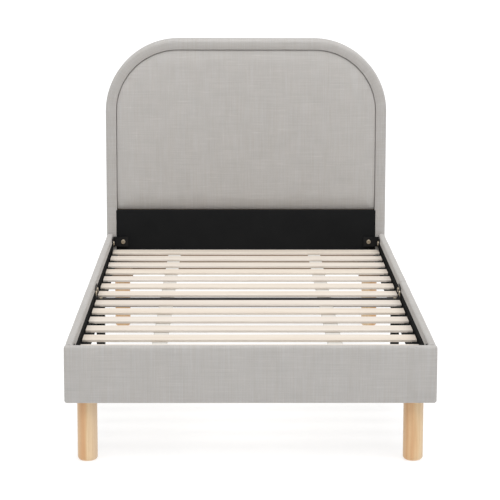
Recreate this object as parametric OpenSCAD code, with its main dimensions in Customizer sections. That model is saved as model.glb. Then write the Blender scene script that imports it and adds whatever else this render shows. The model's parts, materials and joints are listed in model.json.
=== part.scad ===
// Upholstered toddler bed: arched padded headboard, low padded rails, two loose
// mats of beech slats and four round wooden legs.
// Millimetres, +Z up, the foot end at -Y and the headboard at +Y.
// The origin is on the floor, under the middle of the bed.

/* [Overall] */
// Width over the side rails and over the headboard
bed_w = 773; // [640:1:1000]
// Length from the front rail's face to the headboard's back
bed_l = 1510; // [1250:1:1900]
// Height of the headboard above the floor
headboard_h = 792; // [660:1:960]
// Height of the legs, which is the clear height under the rails
leg_h = 131; // [100:1:180]

/* [Headboard] */
// Depth of the headboard, front to back
headboard_t = 60; // [55:1:75]
// Outer radius of the two top corners
arch_r = 200; // [150:1:240]
// Width of the padded border that runs round the arch
border_w = 29; // [24:0.5:40]
// Height of the padded panel's lower edge above the floor
panel_bottom_z = 320; // [280:1:360]
// Gap between the border and the panel, the sewn groove
groove_w = 1; // [0.5:0.5:3]
// Foam and fabric over the border's wooden ring
border_pad = 3; // [2:0.5:5]
// Fabric wrapped over the inside, back and underside of the ring
border_wrap = 1.5; // [1:0.5:2]
// Thickness of the board behind the padded panel
panel_board_t = 12; // [9:1:15]
// Thickness of the padded panel
panel_t = 30; // [20:1:32]
// Thickness of the board below the panel, which takes the corner bolts
lower_board_t = 18; // [15:1:22]
// Height of that board's lower edge above the rails' underside
lower_board_gap = 14; // [3:1:20]
// Height of the lower lining's lower edge above the rails' underside
lower_lining_gap = 74; // [30:1:78]
// Thickness of the cloth over the headboard's back
back_cover_t = 1; // [0.5:0.5:2]
// How far the back cover stays inside the outline
back_cover_inset = 8; // [5:1:15]

/* [Rails] */
// Height of the rails
rail_h = 124; // [110:1:150]
// Thickness of the rails' board
rail_board_t = 12; // [12:1:18]
// Foam and fabric on the outside of the rails
rail_pad = 4; // [2:0.5:5]
// Foam and fabric on top of the rails
rail_top_pad = 6; // [4:0.5:10]
// Fabric folded under the rails
rail_under_wrap = 1.5; // [1:0.5:2]
// Fabric folded over onto the inside of the rails
rail_inner_wrap = 1; // [1:0.5:2]
// How far that fold reaches down the inside
rail_wrap_h = 23; // [8:1:26]
// Radius of the padded top edge, on the outside
rail_round_r = 8; // [6:1:11]
// Radius of the rails' lower outside edge
rail_under_r = 3; // [2:0.5:5]
// Thickness of the black lining on the inside of the rails and headboard
lining_t = 0.5; // [0.5:0.5:1]
// Gap between the two halves of each side rail
rail_joint_gap = 1; // [0.5:0.5:2]
// Width of the batten that the slats lie on
batten_w = 15; // [12:1:20]
// Height of that batten
batten_h = 18; // [15:1:25]

/* [Slats] */
// Width of a slat
slat_w = 53; // [40:1:60]
// Thickness of a slat
slat_t = 6; // [5:0.5:10]
// Depth from the rails' top down to the top of the slats
slat_drop = 44.5; // [38:0.5:50]
// Clearance between a slat's end and the hardware inside the rail
slat_end_gap = 0.5; // [0.5:0.5:5]
// Radius of the slats' long edges
slat_edge_r = 1.5; // [1:0.5:2]
// Gap between the front rail and the front mat
front_mat_rail_gap = 43; // [20:1:60]
// Gap between the front mat and the cross beam
front_mat_beam_gap = 10.5; // [8:0.5:30]
// Gap between the cross beam and the rear mat
rear_mat_beam_gap = 33; // [20:1:50]
// Gap between the rear mat and the headboard
rear_mat_head_gap = 10; // [4:0.5:20]
// Width of the webbing tapes under the slats
tape_w = 34; // [25:1:40]
// Thickness of the tapes
tape_t = 0.8; // [0.5:0.1:1.5]
// Distance of each tape from the middle of its pair
tape_x = 192; // [120:1:240]
// Small sideways offset of the pair of tapes
tape_shift = -5; // [-8:1:8]
// Length of the crown of the staples that hold the tapes
staple_crown = 10; // [8:1:13]
// Thickness of the staples' wire
staple_wire = 0.9; // [0.6:0.1:1.2]
// Length of the staples' legs
staple_leg = 5; // [4:0.5:6]

/* [Legs and corner blocks] */
// Diameter of the wooden legs
leg_d = 42; // [35:1:48]
// Radius of the leg's lower edge
leg_foot_r = 8; // [2:0.5:9]
// Plan size of the wooden corner block above each leg
block_w = 56; // [50:1:60]
// Gap between a corner block and the batten above it
block_gap = 15.5; // [5:0.5:20]
// Wood left in the block above its bolt
block_bolt_cover = 10; // [5:1:12]
// Diameter of the bolt between leg and block
leg_bolt_d = 8; // [6:1:10]
// Reach of that bolt into the leg
leg_bolt_reach = 30; // [25:1:40]

/* [Steel hardware] */
// Length of each flange of the corner brackets
bracket_l = 42; // [36:1:50]
// Height of the corner brackets
bracket_h = 27; // [24:1:29]
// Thickness of the corner brackets
bracket_t = 3; // [2:0.5:4]
// Depth of the corner brackets' upper edge below the rails' top
bracket_drop = 10; // [4:1:14]
// Distance of the bracket's bolts from the inside of the corner
bracket_bolt = 28.5; // [22:0.5:30]
// Width of the joining plate between the halves of a side rail
plate_w = 60; // [56:1:70]
// Distance of the joining plate's ends from the rails' top and underside
plate_margin = 13.5; // [4:0.5:15]
// Thickness of the joining plate
plate_t = 2; // [1.5:0.5:2.5]
// Distance of the joining bolts from the joint
plate_bolt_y = 22; // [20:0.5:24]
// Distance of the joining bolts from the plate's upper and lower ends
plate_bolt_z = 14; // [12:1:18]
// Diameter of the frame bolts
bolt_d = 8; // [6:1:8]
// Diameter of their heads
bolt_head_d = 12; // [11:0.5:14]
// Height of their heads
bolt_head_h = 3; // [2:0.5:4]
// Width across the flats of the hexagon socket in their heads
bolt_socket = 5; // [4:0.5:6]
// Reach of the frame bolts past the steel that they hold
bolt_reach = 11; // [8:1:13]
// Outside width of the square steel tube of the cross beam and its two posts
tube_w = 20; // [18:1:25]
// Wall of that tube
tube_wall = 1.5; // [1:0.5:2]
// Height of the plastic cap under each post
cap_h = 5; // [3:0.5:8]
// Height of the cap's plug inside the tube
cap_plug_h = 10; // [6:1:15]
// Diameter of the bolts that hold beam, posts and plates together
beam_bolt_d = 6; // [5:1:8]
// Diameter of their heads
beam_bolt_head_d = 10; // [9:0.5:12]
// Height of their heads
beam_bolt_head_h = 2.5; // [2:0.5:4]
// Height of the beam's underside above the bolt that holds a post to its plate
post_bolt_drop = 30; // [20:1:40]
// Clearance on the radius of every bolt in its hole
bolt_gap = 0.1; // [0.05:0.05:0.3]

/* [Hidden] */
$fn = 96;
// Cutters reach this far past the faces that they open
over = 1;
half_w = bed_w / 2;
front_y = -bed_l / 2;
back_y = bed_l / 2;
head_y = back_y - headboard_t;
rail_z = leg_h;
rail_top_z = rail_z + rail_h;

// Planes measured inwards from a rail's outside face
board_in = rail_pad + rail_board_t;
wrap_in = board_in + rail_inner_wrap;
lining_in = board_in + lining_t;
front_in_y = front_y + board_in;
front_wrap_y = front_y + wrap_in;
front_lining_y = front_y + lining_in;
hardware_x = half_w - wrap_in;
lining_x = half_w - lining_in;

// Side rails, from the front rail's board to the headboard
rail_mid_y = (front_in_y + head_y) / 2;
rail_half_l = (head_y - front_in_y - rail_joint_gap) / 2;

// Cross beam and posts
beam_top_z = rail_top_z - slat_drop;
beam_z = beam_top_z - tube_w;
beam_half_l = hardware_x - plate_t;
post_x = beam_half_l - tube_w / 2;

// Slats: the ends of each mat come from the gaps, and the pitch from the ends
slat_z = beam_top_z - slat_t;
slat_half_l = hardware_x - plate_t - slat_end_gap;
front_first_y = front_wrap_y + front_mat_rail_gap + slat_w / 2;
front_last_y = rail_mid_y - tube_w / 2 - front_mat_beam_gap - slat_w / 2;
rear_first_y = rail_mid_y + tube_w / 2 + rear_mat_beam_gap + slat_w / 2;
rear_last_y = head_y - rear_mat_head_gap - slat_w / 2;
// Each mat has seven slats, so six gaps
slat_gaps = 6;
front_pitch = (front_last_y - front_first_y) / slat_gaps;
rear_pitch = (rear_last_y - rear_first_y) / slat_gaps;

// Corner blocks reach up towards the battens
block_h = slat_z - batten_h - block_gap - rail_z;
block_bolt_reach = block_h - block_bolt_cover;

// Legs stand under the middle of the corner blocks
leg_x = lining_x - block_w / 2;
leg_front_y = front_lining_y + block_w / 2;
leg_rear_y = head_y - block_w / 2;

// Depths inside the headboard
ring_front_y = head_y + border_pad;
ring_back_y = back_y - back_cover_t - border_wrap;
panel_board_y = head_y + panel_t;
lower_board_y = ring_front_y;
ring_bottom_z = rail_z + border_wrap;
lower_board_z = rail_z + lower_board_gap;
lower_lining_z = rail_z + lower_lining_gap;

// Hole sizes
bolt_hole_r = bolt_d / 2 + bolt_gap;
beam_hole_r = beam_bolt_d / 2 + bolt_gap;
leg_hole_r = leg_bolt_d / 2 + bolt_gap;
// Blind holes are this much deeper than the bolt
hole_end_gap = 1;

// Where the frame bolts sit
bracket_z = rail_top_z - bracket_drop - bracket_h;
bracket_mid_z = bracket_z + bracket_h / 2;
plate_z = rail_z + plate_margin;
plate_top_z = rail_top_z - plate_margin;
plate_bolt_zs = [plate_z + plate_bolt_z, plate_top_z - plate_bolt_z];
front_bolt_y = front_wrap_y + bracket_bolt;
rear_bolt_y = head_y - bracket_bolt;
corner_bolt_x = hardware_x - bracket_bolt;
post_bolt_z = beam_z - post_bolt_drop;

// Colours
linen = [0.75, 0.73, 0.71];
black_cloth = [0.12, 0.12, 0.12];
beech = [0.86, 0.70, 0.52];
slat_wood = [0.91, 0.87, 0.80];
board_wood = [0.78, 0.68, 0.55];
black_steel = [0.10, 0.10, 0.11];
zinc = [0.75, 0.70, 0.60];
white_tape = [0.93, 0.93, 0.92];
black_plastic = [0.08, 0.08, 0.08];

// ---------------------------------------------------------------- shared shapes

// Arch outline in x and z, inset from the headboard's outline by the given amount
module arch(inset, bottom_z) {
    r = arch_r - inset;
    side = half_w - inset;
    top = headboard_h - inset;
    translate([-side, bottom_z]) square([2 * side, top - r - bottom_z]);
    translate([-side + r, top - r - over]) square([2 * (side - r), r + over]);
    for (s = [-1, 1]) translate([s * (side - r), top - r]) circle(r);
}

// Extrudes an outline in x and z along Y, from y0 to y1
module along_y(y0, y1) {
    translate([0, y1, 0]) rotate([90, 0, 0]) linear_extrude(y1 - y0) children();
}

// Extrudes an outline in y and z along X, from x0 to x1
module along_x(x0, x1) {
    translate([x0, 0, 0]) rotate([90, 0, 90]) linear_extrude(x1 - x0) children();
}

// Box between two corners
module box(low, high) {
    translate(low) cube(high - low);
}

// A copy on the left of the bed (-1) or on the right (+1) of a piece drawn on the right
module on_side(s) {
    if (s > 0) children();
    else mirror([1, 0, 0]) children();
}

// Outside of a rail's section, u inwards from the outside face and v above the underside
module cover_outline() {
    translate([0, rail_under_r]) square([board_in, rail_h - rail_round_r - rail_under_r]);
    translate([rail_under_r, 0]) square([board_in - rail_under_r, rail_under_r + over]);
    translate([rail_under_r, rail_under_r]) circle(rail_under_r);
    translate([rail_round_r, rail_h - rail_wrap_h]) square([board_in - rail_round_r, rail_wrap_h]);
    intersection() {
        translate([rail_round_r, rail_h - rail_round_r]) circle(rail_round_r);
        square([board_in, rail_h]);
    }
}

// Section of a rail's cloth
module cover_section() {
    difference() {
        cover_outline();
        board_section(over);
    }
}

// Section of a rail's board; open reaches past its inside face
module board_section(open) {
    translate([rail_pad, rail_under_wrap])
        square([rail_board_t + open, rail_h - rail_under_wrap - rail_wrap_h]);
    translate([rail_pad, rail_h - rail_wrap_h - over])
        square([rail_board_t, rail_wrap_h - rail_top_pad + over]);
}

// Section of the strip of cloth folded over onto the inside of a rail
module fold_section() {
    r = rail_inner_wrap;
    translate([board_in, rail_h - rail_wrap_h]) square([r, rail_wrap_h - r]);
    intersection() {
        translate([board_in, rail_h - r]) circle(r);
        translate([board_in, rail_h - r]) square([r, r]);
    }
}

// Maps a rail section to the right-hand side rail, between two places along the bed
module side_rail_sweep(y0, y1) {
    along_y(y0, y1)
        translate([half_w, rail_z]) mirror([1, 0]) children();
}

// Round hole along X on the right, from the hardware's plane into the rail
module side_hole(y, z, r, depth) {
    translate([hardware_x - bracket_t - over, y, z])
        rotate([0, 90, 0]) cylinder(r = r, h = bracket_t + over + depth);
}

// ---------------------------------------------------------------- headboard

// Bolt holes that the corner brackets need in the headboard
module head_bolt_holes() {
    for (s = [-1, 1])
        translate([s * corner_bolt_x, head_y - bracket_t - over, bracket_mid_z])
            rotate([-90, 0, 0])
                cylinder(r = bolt_hole_r, h = bracket_t + over + bolt_reach + hole_end_gap);
}

// The headboard's wood: a ring round the arch, a board behind the panel and a board below it
module headboard_wood() {
    side = half_w - border_w + border_wrap + over;
    along_y(ring_front_y, ring_back_y) difference() {
        arch(border_pad, ring_bottom_z);
        arch(border_w - border_wrap, ring_bottom_z - over);
    }
    along_y(panel_board_y, panel_board_y + panel_board_t)
        arch(border_w - border_wrap - over, lower_board_z);
    box([-side, lower_board_y, lower_board_z],
        [side, lower_board_y + lower_board_t, panel_bottom_z - groove_w]);
}

module headboard_frame() {
    color(board_wood) difference() {
        headboard_wood();
        head_bolt_holes();
    }
}

module headboard_border() {
    color(linen) difference() {
        along_y(head_y, back_y - back_cover_t) difference() {
            arch(0, rail_z);
            arch(border_w, rail_z - over);
        }
        headboard_wood();
    }
}

module headboard_panel() {
    color(linen) along_y(head_y, panel_board_y) arch(border_w + groove_w, panel_bottom_z);
}

module headboard_lower_lining() {
    side = half_w - border_w;
    color(black_cloth) difference() {
        box([-side, lower_board_y - lining_t, lower_lining_z],
            [side, lower_board_y, panel_bottom_z - groove_w]);
        head_bolt_holes();
    }
}

module headboard_back_cover() {
    color(black_cloth) along_y(back_y - back_cover_t, back_y)
        arch(back_cover_inset, rail_z + back_cover_inset);
}

// ---------------------------------------------------------------- side rails

// Ends of the front half (0) and the rear half (1) along the bed
function half_y0(h) = h == 0 ? front_in_y : head_y - rail_half_l;
function half_y1(h) = half_y0(h) + rail_half_l;
// The corner bolt of each half
function corner_bolt_y(h) = h == 0 ? front_bolt_y : rear_bolt_y;
// The side of the joint that each half is on
function joint_bolt_y(h) = rail_mid_y + (h == 0 ? -1 : 1) * plate_bolt_y;

// Bolt holes in one half of the right-hand rail
module half_holes(h) {
    depth = bolt_reach + hole_end_gap;
    side_hole(corner_bolt_y(h), bracket_mid_z, bolt_hole_r, depth);
    for (z = plate_bolt_zs) side_hole(joint_bolt_y(h), z, bolt_hole_r, depth);
}

module rail_board(s, h) {
    color(board_wood) on_side(s) difference() {
        side_rail_sweep(half_y0(h), half_y1(h)) board_section(0);
        half_holes(h);
    }
}

module rail_cover(s, h) {
    color(linen) on_side(s) difference() {
        side_rail_sweep(half_y0(h), half_y1(h)) {
            cover_section();
            fold_section();
        }
        half_holes(h);
    }
}

module rail_lining(s, h) {
    y0 = h == 0 ? front_lining_y : half_y0(h);
    color(black_cloth) on_side(s) difference() {
        box([lining_x, y0, rail_z + rail_under_wrap],
            [lining_x + lining_t, half_y1(h), rail_top_z - rail_wrap_h]);
        half_holes(h);
    }
}

module batten(s, h) {
    edge = plate_w / 2 + over;
    y0 = h == 0 ? front_lining_y : rail_mid_y + edge;
    y1 = h == 0 ? rail_mid_y - edge : head_y;
    color(black_cloth) on_side(s)
        box([lining_x - batten_w, y0, slat_z - batten_h], [lining_x, y1, slat_z]);
}

// ---------------------------------------------------------------- front rail

// Bolt holes of the front brackets
module front_bolt_holes() {
    for (s = [-1, 1])
        translate([s * corner_bolt_x, front_wrap_y + bracket_t + over, bracket_mid_z])
            rotate([90, 0, 0])
                cylinder(r = bolt_hole_r, h = bracket_t + over + bolt_reach + hole_end_gap);
}

module front_rail_board() {
    x = half_w - rail_pad;
    color(board_wood) difference() {
        along_x(-x, x) translate([front_y, rail_z]) board_section(0);
        front_bolt_holes();
    }
}

// Front view of the rail, with its rounded ends
module front_rail_face() {
    low_r = rail_under_r;
    top_r = rail_round_r;
    translate([-half_w, rail_z + low_r]) square([bed_w, rail_h - low_r - top_r]);
    translate([-half_w + low_r, rail_z]) square([bed_w - 2 * low_r, low_r + over]);
    translate([-half_w + top_r, rail_top_z - top_r - over])
        square([bed_w - 2 * top_r, top_r + over]);
    for (s = [-1, 1]) {
        translate([s * (half_w - low_r), rail_z + low_r]) circle(low_r);
        translate([s * (half_w - top_r), rail_top_z - top_r]) circle(top_r);
    }
}

module front_rail_cover() {
    x = half_w - rail_pad;
    color(linen) difference() {
        union() {
            intersection() {
                along_x(-half_w, half_w) translate([front_y, rail_z]) cover_outline();
                along_y(front_y - over, front_in_y + over) front_rail_face();
            }
            along_x(-hardware_x, hardware_x) translate([front_y, rail_z]) fold_section();
        }
        along_x(-x, x) translate([front_y, rail_z]) board_section(over);
        front_bolt_holes();
    }
}

module front_rail_lining() {
    color(black_cloth) difference() {
        box([-lining_x, front_in_y, rail_z + rail_under_wrap],
            [lining_x, front_lining_y, rail_top_z - rail_wrap_h]);
        front_bolt_holes();
    }
}

// ---------------------------------------------------------------- steel hardware

// Corner bracket drawn on the right; y is the plane it lies on, dir points into the bed
module corner_bracket(y, dir) {
    z0 = bracket_z;
    z1 = bracket_z + bracket_h;
    ys = [min(y, y + dir * bracket_l), max(y, y + dir * bracket_l)];
    yt = [min(y, y + dir * bracket_t), max(y, y + dir * bracket_t)];
    difference() {
        union() {
            box([hardware_x - bracket_l, yt[0], z0], [hardware_x, yt[1], z1]);
            box([hardware_x - bracket_t, ys[0], z0], [hardware_x, ys[1], z1]);
        }
        side_hole(y + dir * bracket_bolt, bracket_mid_z, bolt_hole_r, over);
        translate([corner_bolt_x, y - dir * over, bracket_mid_z])
            rotate([-dir * 90, 0, 0]) cylinder(r = bolt_hole_r, h = bracket_t + 2 * over);
    }
}

module front_corner_brackets() {
    color(black_steel) for (s = [-1, 1]) on_side(s) corner_bracket(front_wrap_y, 1);
}

module rear_corner_brackets() {
    color(black_steel) for (s = [-1, 1]) on_side(s) corner_bracket(head_y, -1);
}

module joining_plate(s) {
    color(black_steel) on_side(s) difference() {
        box([hardware_x - plate_t, rail_mid_y - plate_w / 2, plate_z],
            [hardware_x, rail_mid_y + plate_w / 2, plate_top_z]);
        for (h = [0, 1]) for (z = plate_bolt_zs)
            side_hole(joint_bolt_y(h), z, bolt_hole_r, over);
        side_hole(rail_mid_y, post_bolt_z, beam_hole_r, over);
    }
}

// Bolt with its head's underside at the origin, the shank towards +Z, the head below
module bolt(d, head_d, head_h, length, socket) {
    r = head_h / 2;
    difference() {
        rotate_extrude() {
            square([d / 2, length]);
            translate([0, -head_h]) square([head_d / 2 - r, head_h]);
            translate([0, -head_h + r]) square([head_d / 2, head_h - r]);
            translate([head_d / 2 - r, -head_h + r]) circle(r, $fn = 32);
        }
        translate([0, 0, -head_h - over])
            cylinder(d = socket / cos(30), h = over + head_h * 0.8, $fn = 6);
    }
}

module frame_bolt(grip) {
    bolt(bolt_d, bolt_head_d, bolt_head_h, grip + bolt_reach, bolt_socket);
}

module frame_bolts() {
    color(zinc) for (s = [-1, 1]) on_side(s) {
        for (h = [0, 1]) {
            translate([hardware_x - bracket_t, corner_bolt_y(h), bracket_mid_z])
                rotate([0, 90, 0]) frame_bolt(bracket_t);
            for (z = plate_bolt_zs)
                translate([hardware_x - plate_t, joint_bolt_y(h), z])
                    rotate([0, 90, 0]) frame_bolt(plate_t);
        }
        translate([corner_bolt_x, front_wrap_y + bracket_t, bracket_mid_z])
            rotate([90, 0, 0]) frame_bolt(bracket_t);
        translate([corner_bolt_x, head_y - bracket_t, bracket_mid_z])
            rotate([-90, 0, 0]) frame_bolt(bracket_t);
    }
}

// Hole for the bolt that holds the beam down on the right-hand post
module beam_down_hole() {
    translate([post_x, rail_mid_y, beam_z - tube_wall - over])
        cylinder(r = beam_hole_r, h = 2 * tube_wall + 2 * over);
    translate([post_x, rail_mid_y, beam_top_z - tube_wall - over])
        cylinder(r = beam_hole_r, h = tube_wall + 2 * over);
}

module cross_beam() {
    low = rail_mid_y - tube_w / 2;
    high = rail_mid_y + tube_w / 2;
    color(black_steel) difference() {
        box([-beam_half_l, low, beam_z], [beam_half_l, high, beam_top_z]);
        box([-beam_half_l - over, low + tube_wall, beam_z + tube_wall],
            [beam_half_l + over, high - tube_wall, beam_top_z - tube_wall]);
        for (s = [-1, 1]) on_side(s) beam_down_hole();
    }
}

// Hole for the bolt that holds the right-hand post to its joining plate
module post_side_hole() {
    translate([post_x - tube_w / 2 - over, rail_mid_y, post_bolt_z])
        rotate([0, 90, 0]) cylinder(r = beam_hole_r, h = tube_w + 2 * over);
}

module mid_post(s) {
    in = tube_w / 2 - tube_wall;
    color(black_steel) on_side(s) difference() {
        translate([post_x - tube_w / 2, rail_mid_y - tube_w / 2, cap_h])
            cube([tube_w, tube_w, beam_z - cap_h]);
        box([post_x - in, rail_mid_y - in, cap_h - over],
            [post_x + in, rail_mid_y + in, beam_z - tube_wall]);
        beam_down_hole();
        post_side_hole();
    }
}

module post_caps() {
    in = tube_w / 2 - tube_wall;
    color(black_plastic) for (s = [-1, 1]) on_side(s) {
        box([post_x - tube_w / 2, rail_mid_y - tube_w / 2, 0],
            [post_x + tube_w / 2, rail_mid_y + tube_w / 2, cap_h]);
        box([post_x - in, rail_mid_y - in, 0], [post_x + in, rail_mid_y + in, cap_h + cap_plug_h]);
    }
}

module beam_bolts() {
    color(zinc) for (s = [-1, 1]) on_side(s) {
        translate([post_x, rail_mid_y, beam_top_z]) rotate([180, 0, 0])
            bolt(beam_bolt_d, beam_bolt_head_d, beam_bolt_head_h, tube_w + tube_wall + over,
                 bolt_socket - over);
        translate([post_x - tube_w / 2, rail_mid_y, post_bolt_z]) rotate([0, 90, 0])
            bolt(beam_bolt_d, beam_bolt_head_d, beam_bolt_head_h, tube_w + plate_t,
                 bolt_socket - over);
    }
}

// ---------------------------------------------------------------- slat mats

// Centre of slat i, counted from the foot of the bed, in the front mat (0) or rear mat (1)
function slat_y(m, i) = m == 0 ? front_first_y + i * front_pitch : rear_first_y + i * rear_pitch;

module slat(m, i) {
    r = slat_edge_r;
    y = slat_y(m, i);
    color(slat_wood) along_x(-slat_half_l, slat_half_l) translate([y, slat_z]) {
        translate([-slat_w / 2, r]) square([slat_w, slat_t - 2 * r]);
        translate([-slat_w / 2 + r, 0]) square([slat_w - 2 * r, slat_t]);
        for (u = [-1, 1]) for (v = [r, slat_t - r])
            translate([u * (slat_w / 2 - r), v]) circle(r, $fn = 32);
    }
}

module tape(m, s) {
    x = tape_shift + s * tape_x;
    y0 = slat_y(m, 0) - slat_w / 2 + tape_t;
    y1 = slat_y(m, slat_gaps) + slat_w / 2 - tape_t;
    color(white_tape)
        box([x - tape_w / 2, y0, slat_z - tape_t], [x + tape_w / 2, y1, slat_z]);
}

module staple() {
    box([-staple_crown / 2, -staple_wire / 2, -tape_t - staple_wire],
        [staple_crown / 2, staple_wire / 2, -tape_t]);
    for (s = [-1, 1])
        translate([s * (staple_crown - staple_wire) / 2, 0, -tape_t - staple_wire])
            translate([-staple_wire / 2, -staple_wire / 2, 0])
                cube([staple_wire, staple_wire, staple_leg]);
}

module staples(m) {
    color(zinc) for (s = [-1, 1]) for (i = [0 : slat_gaps])
        translate([tape_shift + s * tape_x, slat_y(m, i), slat_z]) staple();
}

// ---------------------------------------------------------------- legs

// Places its children under each corner: side s, end e (0 front, 1 rear)
module at_leg(s, e) {
    translate([s * leg_x, e == 0 ? leg_front_y : leg_rear_y, 0]) children();
}

module leg(s, e) {
    r = leg_foot_r;
    color(beech) at_leg(s, e) difference() {
        rotate_extrude() {
            translate([0, r]) square([leg_d / 2, leg_h - r]);
            square([leg_d / 2 - r, r + over]);
            translate([leg_d / 2 - r, r]) circle(r, $fn = 48);
        }
        translate([0, 0, leg_h - leg_bolt_reach - hole_end_gap])
            cylinder(r = leg_hole_r, h = leg_bolt_reach + hole_end_gap + over);
    }
}

module corner_blocks() {
    color(board_wood) for (s = [-1, 1]) for (e = [0, 1]) at_leg(s, e) difference() {
        box([-block_w / 2, -block_w / 2, rail_z], [block_w / 2, block_w / 2, rail_z + block_h]);
        translate([0, 0, rail_z - over])
            cylinder(r = leg_hole_r, h = block_bolt_reach + hole_end_gap + over);
    }
}

module leg_bolts() {
    color(zinc) for (s = [-1, 1]) for (e = [0, 1]) at_leg(s, e)
        translate([0, 0, leg_h - leg_bolt_reach])
            cylinder(d = leg_bolt_d, h = leg_bolt_reach + block_bolt_reach);
}

// ---------------------------------------------------------------- drawing

headboard_frame();
headboard_border();
headboard_panel();
headboard_lower_lining();
headboard_back_cover();
rail_board(-1, 0);  // rail_board_front_left
rail_board(-1, 1);  // rail_board_rear_left
rail_board(1, 0);  // rail_board_front_right
rail_board(1, 1);  // rail_board_rear_right
rail_cover(-1, 0);  // rail_cover_front_left
rail_cover(-1, 1);  // rail_cover_rear_left
rail_cover(1, 0);  // rail_cover_front_right
rail_cover(1, 1);  // rail_cover_rear_right
rail_lining(-1, 0);  // rail_lining_front_left
rail_lining(-1, 1);  // rail_lining_rear_left
rail_lining(1, 0);  // rail_lining_front_right
rail_lining(1, 1);  // rail_lining_rear_right
batten(-1, 0);  // batten_front_left
batten(-1, 1);  // batten_rear_left
batten(1, 0);  // batten_front_right
batten(1, 1);  // batten_rear_right
front_rail_board();
front_rail_cover();
front_rail_lining();
front_corner_brackets();
rear_corner_brackets();
joining_plate(-1);  // joining_plate_left
joining_plate(1);  // joining_plate_right
frame_bolts();
cross_beam();
mid_post(-1);  // mid_post_left
mid_post(1);  // mid_post_right
post_caps();
beam_bolts();
slat(0, 0);  // slat_front_1
slat(0, 1);  // slat_front_2
slat(0, 2);  // slat_front_3
slat(0, 3);  // slat_front_4
slat(0, 4);  // slat_front_5
slat(0, 5);  // slat_front_6
slat(0, 6);  // slat_front_7
slat(1, 0);  // slat_rear_1
slat(1, 1);  // slat_rear_2
slat(1, 2);  // slat_rear_3
slat(1, 3);  // slat_rear_4
slat(1, 4);  // slat_rear_5
slat(1, 5);  // slat_rear_6
slat(1, 6);  // slat_rear_7
tape(0, -1);  // tape_front_left
tape(0, 1);  // tape_front_right
tape(1, -1);  // tape_rear_left
tape(1, 1);  // tape_rear_right
staples(0);  // staples_front
staples(1);  // staples_rear
leg(-1, 0);  // leg_front_left
leg(1, 0);  // leg_front_right
leg(-1, 1);  // leg_rear_left
leg(1, 1);  // leg_rear_right
corner_blocks();
leg_bolts();
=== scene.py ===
"""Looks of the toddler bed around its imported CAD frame. Metres, +Z up, foot end at -Y."""

import json
import math

import bmesh
import bpy
import numpy as np
from mathutils import Matrix, Vector, noise


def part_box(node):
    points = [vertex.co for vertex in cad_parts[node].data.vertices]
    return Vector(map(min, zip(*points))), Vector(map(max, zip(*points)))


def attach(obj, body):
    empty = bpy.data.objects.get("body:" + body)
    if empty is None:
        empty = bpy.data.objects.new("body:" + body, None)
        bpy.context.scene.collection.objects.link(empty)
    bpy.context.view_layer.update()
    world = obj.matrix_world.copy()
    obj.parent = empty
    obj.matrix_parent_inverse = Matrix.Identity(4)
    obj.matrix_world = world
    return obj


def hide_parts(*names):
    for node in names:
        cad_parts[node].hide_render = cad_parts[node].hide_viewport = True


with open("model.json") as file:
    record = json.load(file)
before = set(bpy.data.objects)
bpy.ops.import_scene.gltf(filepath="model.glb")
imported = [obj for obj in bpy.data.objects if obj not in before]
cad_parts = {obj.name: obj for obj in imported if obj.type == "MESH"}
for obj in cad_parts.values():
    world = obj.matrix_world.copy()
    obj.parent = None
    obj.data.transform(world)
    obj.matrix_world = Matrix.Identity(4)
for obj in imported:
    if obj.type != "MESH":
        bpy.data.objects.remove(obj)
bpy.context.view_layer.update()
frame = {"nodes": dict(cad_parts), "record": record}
NODES = frame["nodes"]

# ---------------------------------------------------------------- places, from the CAD

HEAD_LO, HEAD_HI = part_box("headboard_border")
HALF_W = HEAD_HI.x
TOP_Z = HEAD_HI.z
RAIL_Z = HEAD_LO.z
HEAD_Y = HEAD_LO.y
BORDER_BACK_Y = HEAD_HI.y
PANEL_LO, PANEL_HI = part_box("headboard_panel")
RAIL_TOP_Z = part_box("front_rail_cover")[1].z
FRONT_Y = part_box("front_rail_cover")[0].y
RAIL_H = RAIL_TOP_Z - RAIL_Z

# Shapes that a box can't say
ARCH_R = 0.200
BORDER_W = 0.029
GROOVE_W = 0.001
PAD_OUT = 0.004
BOARD_T = 0.012
BOARD_IN = PAD_OUT + BOARD_T
WRAP_IN = BOARD_IN + 0.001
UNDER_WRAP = 0.0015
TOP_PAD = 0.006
WRAP_H = 0.023
LEG_R = 0.021
FOOT_R = 0.008


# ---------------------------------------------------------------- small tools

def lerp(a, b, t):
    return a + (b - a) * t


def smooth(t):
    t = min(1.0, max(0.0, t))
    return t * t * (3 - 2 * t)


def wave_noise(x, y, z, scale):
    """Smooth noise from about -1 to 1."""
    return noise.noise(Vector((x * scale, y * scale, z * scale)))


def arc_points(cx, cy, r, a0, a1, n):
    """Points on an arc, angles in degrees, both ends included."""
    out = []
    for i in range(n + 1):
        a = math.radians(lerp(a0, a1, i / n))
        out.append((cx + r * math.cos(a), cy + r * math.sin(a)))
    return out


def line_points(a, b, step):
    """Points between a and b, without either end."""
    n = max(1, int(math.hypot(b[0] - a[0], b[1] - a[1]) / step))
    return [(lerp(a[0], b[0], i / n), lerp(a[1], b[1], i / n)) for i in range(1, n)]


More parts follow.
